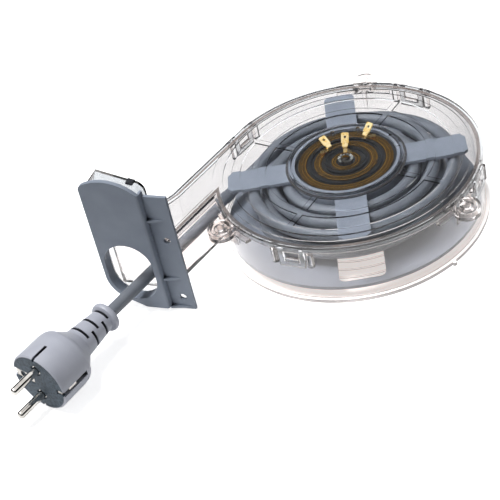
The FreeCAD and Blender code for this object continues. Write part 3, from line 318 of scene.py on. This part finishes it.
# PVC drawn through a die: a round highlight along the cord, a little uneven from ripples of about 1 mm,
# and painted shade where two turns touch
cord_pvc = moulded("pvc_extruded_cord_grey", "#7C818A", "#878B93", 0.4, 1.1, 0.25, 11.0, 5.0)
# soft PVC moulded over the plug's insert: paler than the cord, with a fine matt grain of 0.1 mm that is
# drawn at 0.65 mm to show
plug_pvc = moulded("pvc_overmoulded_plug_grey", "#BABDC9", "#C4C7D2", 0.42, 0.65, 0.25)
# glass-filled polyamide, moulded: darker and dry, with specks of 1.4 mm where the fibres come up
insert_pa = moulded("polyamide_glass_filled_insert", "#46535F", "#667481", 0.6, 0.83, 0.6, 1.4, 2.0)
# pressed phenolic resin: nearly black, with a dull sheen, so that the rings stand out on it
insulator = moulded("phenolic_resin_pressed_black", "#0F1012", "#1B1D20", 0.5, 0.65, 0.2)
# acetal in its natural colour, moulded smooth: a waxy white
acetal = moulded("acetal_moulded_natural_white", "#DCDCD6", "#E6E6E1", 0.35, 0.65, 0.15)
print("plastics:", [m.name for m in (plate_abs, drum_abs, cord_pvc, plug_pvc, insert_pa, insulator, acetal)])

# %% [markdown]
# ## Metals
# Brass rings, brass tabs, nickel on the pins, a steel axle and blued springs. A metal could be one
# colour and one roughness, but worked metal has streaks along the way it was drawn, ground or
# worn, in which colour and roughness change together. On the slip rings the sprung contacts wear
# tracks round the axis, so there the pattern reads the distance from the axis alone.

# %% Metals
def metal(name, dark, pale, roughness, mark_mm, stretch=(1.0, 1.0, 1.0), grain=0.1, rings=False):
    """Two tones in marks of a size, drawn out by the stretch. With rings, they run round the axis."""
    material, tree, out = empty_material(name)
    where = add(tree, "TexCoord")
    source = (where, "Object")
    if rings:
        # the distance from the drum's axis is the length of the place with its height taken out
        flat = add(tree, "VectorMath", {0: source, 1: (1.0, 1.0, 0.0)}, operation="MULTIPLY")
        radius = add(tree, "VectorMath", {0: (flat, "Vector")}, operation="LENGTH")
        source = (add(tree, "CombineXYZ", {"X": (radius, "Value")}), "Vector")
    mapping = add(tree, "Mapping", {"Vector": source, "Scale": stretch})
    streak = add(tree, "TexNoise", {
        "Vector": (mapping, "Vector"), "Scale": scale_for(mark_mm), "Detail": 3.0})
    tone = add(tree, "ValToRGB", {"Fac": (streak, "Fac")}, stops=[(0.35, dark), (0.62, pale)])
    rough = add(tree, "MapRange", {
        "Value": (streak, "Fac"), "To Min": roughness * 0.7, "To Max": roughness * 1.3})
    bump = add(tree, "Bump", {"Height": (streak, "Fac"), "Strength": grain, "Distance": 0.0001})
    shine = add(tree, "BsdfPrincipled", {
        "Base Color": (tone, "Color"), "Metallic": 1.0, "Roughness": (rough, "Result"),
        "Normal": (bump, "Normal")})
    tree.links.new(shine.outputs["BSDF"], out.inputs["Surface"])
    return material


# turned brass under sliding contacts: dark bronze and bright gold side by side in tracks of 0.7 mm
ring_brass = metal("brass_turned_worn_in_tracks", "#7C5616", "#DBA84A", 0.26, 0.7, rings=True, grain=0.3)
# stamped brass strip with a thin gold plating: pale and warm, with cloudy patches of 3 mm
tab_brass = metal("brass_strip_gold_plated", "#F2CE82", "#FFEAB6", 0.28, 3.3)
# bright nickel on turned brass: a near mirror with no grain of its own, only clouds of 8 mm
nickel = metal("nickel_plated_turned_pins", "#C4C0BA", "#E9E6E1", 0.05, 8.0, grain=0.02)
# ground steel bar: fine scratches, drawn 2 mm wide and ten times as long to show
steel = metal("steel_ground_bar", "#6A6764", "#8E8A86", 0.35, 2.0, stretch=(1.0, 1.0, 0.1))
# spring steel blued in heat: dark, with a soft metal shine in patches of 3 mm
blued = metal("spring_steel_blued", "#2B2C30", "#4A4C52", 0.35, 3.3)
# bronze strip dipped in tin: silvery, with drips and clouds of 2.5 mm
tinned = metal("bronze_strip_tinned", "#A8A49E", "#DEDAD4", 0.24, 2.5)
print("metals:", [m.name for m in (ring_brass, tab_brass, nickel, steel, blued, tinned)])

# %% [markdown]
# ## Which piece gets which finish
# A reel is made of few materials, and each serves for several pieces. A finish could be set piece
# by piece, but a table from material to pieces is easier to check.

# %% Give each solid its finish
pieces_of = [
    (clear_pot, "housing_base"),
    (clear_lid, "housing_cover mouth_box contact_carrier"),
    (plate_abs, "exit_plate exit_sleeve"),
    (drum_abs, "drum_hub drum_flange spring_arbor cord_clamp"),
    (insulator, "slip_ring_carrier ring_leads"),
    (ring_brass, "slip_ring_outer slip_ring_middle slip_ring_inner"),
    (tab_brass, "contact_outer contact_middle contact_inner"),
    (steel, "axle pawl_pin"),
    (blued, "pawl_spring rewind_spring plate_clip"),
    (acetal, "latch_ring latch_pawl lower_bush upper_bush"),
    (plug_pvc, "strain_relief plug_body"),
    (insert_pa, "plug_face"),
    (nickel, "plug_pins"),
    (tinned, "earth_clips"),
]
for material, names in pieces_of:
    for name in names.split():
        nodes[name].data.materials.clear()
        nodes[name].data.materials.append(material)
print("solids with a finish of their own:", sum(len(names.split()) for material, names in pieces_of))

# %% [markdown]
# ## The cord
# The cord is one round PVC lead of 7.4 mm. Its winding could be a curve with a bevel, but a spiral
# is a formula, so the tube is worked out as a grid: places along the line by angles round it.
# Each ring of the grid stands square to the line, and a fan of triangles closes each end.

# %% A tube as a grid
def grid_mesh(name, grid):
    """A mesh from a grid of points (along, round, xyz), joined round, with a fan at each end."""
    rows, sides = grid.shape[:2]
    i, j = np.meshgrid(np.arange(rows - 1), np.arange(sides), indexing="ij")
    k = (j + 1) % sides
    quads = np.stack([i * sides + j, (i + 1) * sides + j, (i + 1) * sides + k, i * sides + k], -1)
    quads = quads.reshape(-1, 4)
    points = np.concatenate([grid.reshape(-1, 3), [grid[0].mean(0), grid[-1].mean(0)]])
    a = np.arange(sides)
    b = (a + 1) % sides
    last = (rows - 1) * sides
    first_fan = np.stack([a, b, np.full(sides, rows * sides)], -1)
    last_fan = np.stack([last + b, last + a, np.full(sides, rows * sides + 1)], -1)
    mesh = bpy.data.meshes.new(name)
    mesh.from_pydata(points.tolist(), [], quads.tolist() + first_fan.tolist() + last_fan.tolist())
    mesh.update()
    mesh.shade_smooth()
    return mesh


def tube_grid(path, radius, sides=20):
    """Point (i, a) = path(i) + radius times (cos a, sin a) in the plane square to the path."""
    way = np.gradient(path, axis=0)
    way /= np.linalg.norm(way, axis=1)[:, None]
    side = np.cross(way, (0.0, 0.0, 1.0))
    side /= np.linalg.norm(side, axis=1)[:, None]
    top = np.cross(side, way)
    a = np.linspace(0.0, 2 * np.pi, sides, endpoint=False)[None, :, None]
    return path[:, None] + radius * (np.cos(a) * side[:, None] + np.sin(a) * top[:, None])


def length_mm(path):
    """The length of a line of points, in mm: the sum of its steps."""
    return round(float(np.linalg.norm(np.diff(path, axis=0), axis=1).sum()) * 1000.0)


def cord_piece(name, path, body, stands_for, sides=20):
    """A tube of cord along a path, which rides on a body and stands for a solid."""
    mesh = grid_mesh(name, tube_grid(path, cord_r, sides))
    mesh.materials.append(cord_pvc)
    obj = bpy.data.objects.new(name, mesh)
    bpy.context.scene.collection.objects.link(obj)
    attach(obj, body)
    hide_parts(stands_for)
    print(name, length_mm(path), "mm of cord")


cord_r = 0.0037
print("cord:", 2 * cord_r * 1000.0, "mm thick")

# %% [markdown]
# ## The outer layer
# The top layer starts at the hub, lies for half a turn close against it, opens out evenly, and
# in its last half turn runs down to the duct's height, where it leaves along the tangent. It
# could be drawn turn by turn, but one formula has no seams between turns. The same numbers as in
# the CAD place it, so it lies just where the plain solid lies that it stands for.

# %% The outer layer of the cord
exit_angle = math.radians(135.0)
exit_radius = 0.0675
duct_z = 0.0192
turns = 2.875
slow_turns, slow_pitch = 0.5, 0.0068
drop_start = 2.4
hub_radius = 0.0324
hub_gap = 0.0005
start_radius = hub_radius + hub_gap + cord_r
top_z = 0.0316
outer_points = 420


def spiral(t):
    """After t turns: radius grows slowly, then evenly; height falls at the end by f * f * (3 - 2 * f)."""
    pitch = (exit_radius - start_radius - slow_pitch * slow_turns) / (turns - slow_turns)
    radius = start_radius + slow_pitch * np.minimum(t, slow_turns) + pitch * np.maximum(t - slow_turns, 0.0)
    fall = np.clip((t - drop_start) / (turns - drop_start), 0.0, 1.0)
    z = top_z + (duct_z - top_z) * fall ** 2 * (3 - 2 * fall)
    angle = exit_angle + 2 * np.pi * (t - turns)
    return np.stack([radius * np.cos(angle), radius * np.sin(angle), z], -1)


on_drum = spiral(np.linspace(0.0, turns, outer_points))
# five points before the spiral go on back along its first step, into the hub's wall
into_hub = on_drum[:1] - (on_drum[1:2] - on_drum[:1]) * np.linspace(4.0, 0.6, 5)[:, None]
# five points after it go down the duct, to where the cord in the duct begins
run_way = np.array([math.cos(exit_angle + math.pi / 2), math.sin(exit_angle + math.pi / 2), 0.0])
duct_start = 0.0074
off_drum = on_drum[-1:] + run_way * np.linspace(0.0012, duct_start, 5)[:, None]
cord_piece("cord_outer_layer", np.concatenate([into_hub, on_drum, off_drum]), "drum", "cord_winding")

# %% [markdown]
# ## The inner layers
# Under it lie three more layers, flat spirals that run outwards, inwards and outwards again, as
# on a real drum. They could be rings, but rings have no crossing from one layer to the next.

# %% The inner layers of the cord
# each layer: height, radius at its start and at its end
layers = [(0.01275, 0.0364, 0.0545), (0.01830, 0.0578, 0.0366), (0.02375, 0.0364, 0.0552)]
inner_pitch = 0.0076
inner_points_per_turn = 150
# the angle, in radians, in which the cord climbs from one layer to the next
step_over = 0.35
stretches = []
phase = 0.0
for z, r0, r1 in layers:
    # as many half turns as fit at the pitch
    count = round(abs(r1 - r0) / inner_pitch * 2) / 2
    s = np.linspace(0.0, 1.0, int(inner_points_per_turn * count))
    angle = phase + 2 * np.pi * count * s
    radius = r0 + (r1 - r0) * s
    stretches.append(np.stack([radius * np.cos(angle), radius * np.sin(angle), np.full_like(s, z)], -1))
    phase = angle[-1] + step_over
cord_piece("cord_inner_layers", np.concatenate(stretches), "drum", "winding_core", sides=14)

# %% [markdown]
# ## The cord in the duct and the free cord
# From the drum the cord runs straight down the duct, through the plate's long hole and into the
# plug's cord guard. The rewind spring holds it taut, so its line is straight. Drum, duct and free
# stretch could be one long tube, but the drum's part has to turn with the drum. The stretch
# outside is a NURBS curve with a round bevel.

# %% The cord in the duct
out_way = np.array([math.cos(exit_angle), math.sin(exit_angle), 0.0])


def down_duct(run):
    """The place on the cord's line at a run from the drum's tangent point."""
    return out_way * exit_radius + run_way * run + np.array([0.0, 0.0, duct_z])


duct_end = 0.1076358
free_length = 0.0445
duct_points = 40
in_duct = np.stack([down_duct(run) for run in np.linspace(duct_start, duct_end, duct_points)])
cord_piece("cord_in_duct", in_duct, "housing", "duct_cord")

# %% The free cord
line = bpy.data.curves.new("cord_to_plug", "CURVE")
line.dimensions = "3D"
spline = line.splines.new("NURBS")
runs = [duct_end, duct_end + 0.0148, duct_end + 0.0297, duct_end + free_length]
spline.points.add(len(runs) - 1)
for point, run in zip(spline.points, runs):
    point.co = (*down_duct(run), 1.0)
spline.order_u = 3
spline.use_endpoint_u = True
line.resolution_u = 12
line.bevel_depth = cord_r
line.bevel_resolution = 6
line.use_fill_caps = True
line.materials.append(cord_pvc)
free = bpy.data.objects.new("cord_to_plug", line)
bpy.context.scene.collection.objects.link(free)
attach(free, "housing")
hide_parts("free_cord")
print("free cord:", free_length * 1000.0, "mm, straight")
